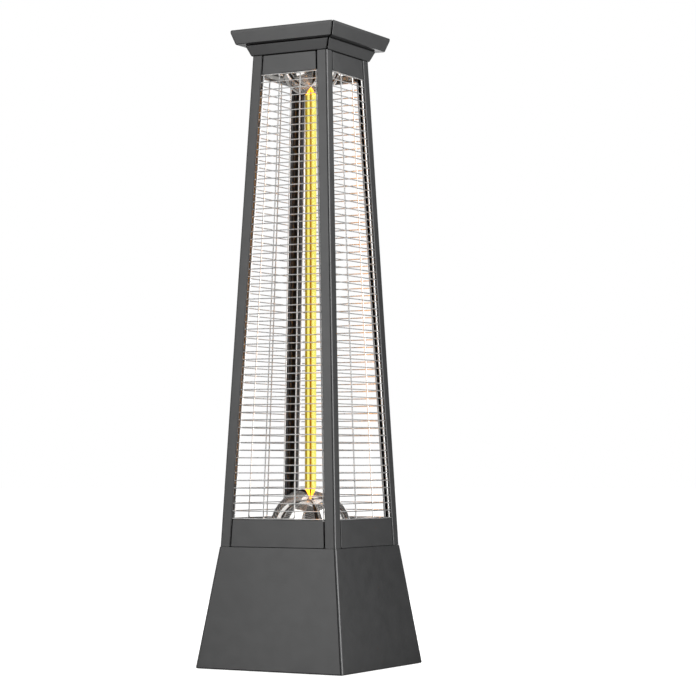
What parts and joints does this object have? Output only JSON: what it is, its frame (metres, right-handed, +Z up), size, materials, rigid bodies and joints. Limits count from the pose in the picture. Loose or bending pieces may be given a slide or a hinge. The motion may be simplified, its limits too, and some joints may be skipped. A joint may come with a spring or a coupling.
{
  "type": "outdoor heater",
  "caption": "Electric patio heater: tapered square tower with wire guards round an upright quartz lamp, flared plinth, two-tier cap, rear rocker switch.",
  "frame": {"origin": "on the ground under the centre of the plinth, at the underside of the rubber feet", "axes": "+Z up along the tower's centre line, -Y out of the front face, +X to the right seen from the front; the switch and cable gland are on the +Y face"},
  "size_m": [0.3158, 0.3158, 1.205],
  "materials": {
    "powder_coat": "satin anthracite powder coat on folded sheet steel",
    "guard_wire": "bright chromed round wire",
    "mirror_reflector": "mirror-polished spun aluminium",
    "zinc_steel": "zinc-plated sheet steel",
    "foot_rubber": "matt black moulded rubber",
    "black_plastic": "fine-textured black nylon",
    "white_plastic": "off-white nylon",
    "ceramic": "unglazed steatite",
    "quartz": "clear quartz with an amber glow",
    "filament_wire": "coiled heating wire, glowing orange",
    "lead_sleeve": "glass-fibre heat sleeve, brick red"
  },
  "bodies": {
    "heater": {"plinth_front": "powder_coat", "plinth_right": "powder_coat", "plinth_back": "powder_coat", "plinth_left": "powder_coat", "base_plate": "zinc_steel", "foot_front_right": "foot_rubber", "foot_back_right": "foot_rubber", "foot_back_left": "foot_rubber", "foot_front_left": "foot_rubber", "post_front_right": "powder_coat", "apron_front": "powder_coat", "frieze_front": "powder_coat", "guard_front": "guard_wire", "guard_stays_front": "guard_wire", "post_back_right": "powder_coat", "apron_right": "powder_coat", "frieze_right": "powder_coat", "guard_right": "guard_wire", "guard_stays_right": "guard_wire", "post_back_left": "powder_coat", "apron_back": "powder_coat", "frieze_back": "powder_coat", "guard_back": "guard_wire", "guard_stays_back": "guard_wire", "post_front_left": "powder_coat", "apron_left": "powder_coat", "frieze_left": "powder_coat", "guard_left": "guard_wire", "guard_stays_left": "guard_wire", "tower_floor": "zinc_steel", "tower_screw_front": "zinc_steel", "tower_screw_right": "zinc_steel", "tower_screw_back": "zinc_steel", "tower_screw_left": "zinc_steel", "lower_dome": "mirror_reflector", "upper_dome": "mirror_reflector", "ceiling_plate": "mirror_reflector", "quartz_tube": "quartz", "filament": "filament_wire", "end_cap_lower": "ceramic", "end_cap_upper": "ceramic", "lamp_bracket_lower": "zinc_steel", "lamp_bracket_upper": "zinc_steel", "cap_crown": "powder_coat", "cap_lid": "powder_coat", "rocker_housing": "black_plastic", "cable_gland": "black_plastic", "gland_cap": "black_plastic", "gland_nut": "black_plastic", "tip_switch_housing": "white_plastic", "tip_switch_spring": "zinc_steel", "terminal_block": "white_plastic", "switch_lead": "lead_sleeve", "tip_switch_lead": "lead_sleeve", "lamp_lead_lower": "lead_sleeve", "lamp_lead_upper": "lead_sleeve"},
    "rocker": {"rocker": "black_plastic"},
    "tip_plunger": {"tip_switch_plunger": "white_plastic"}
  },
  "joints": [
    {"name": "rocker_tilt", "type": "hinge", "parent": "heater", "child": "rocker", "pos_m": [-0.052, 0.14036, 0.10258], "axis": [-1, 0, 0], "range_deg": [0, 20]},
    {"name": "tip_plunger_slide", "type": "slide", "parent": "heater", "child": "tip_plunger", "axis": [0, 0, 1], "range_m": [-0.006, 0], "stiffness_N_per_m": 100, "springref_m": -0.008, "deforming": ["tip_switch_spring"]}
  ]
}
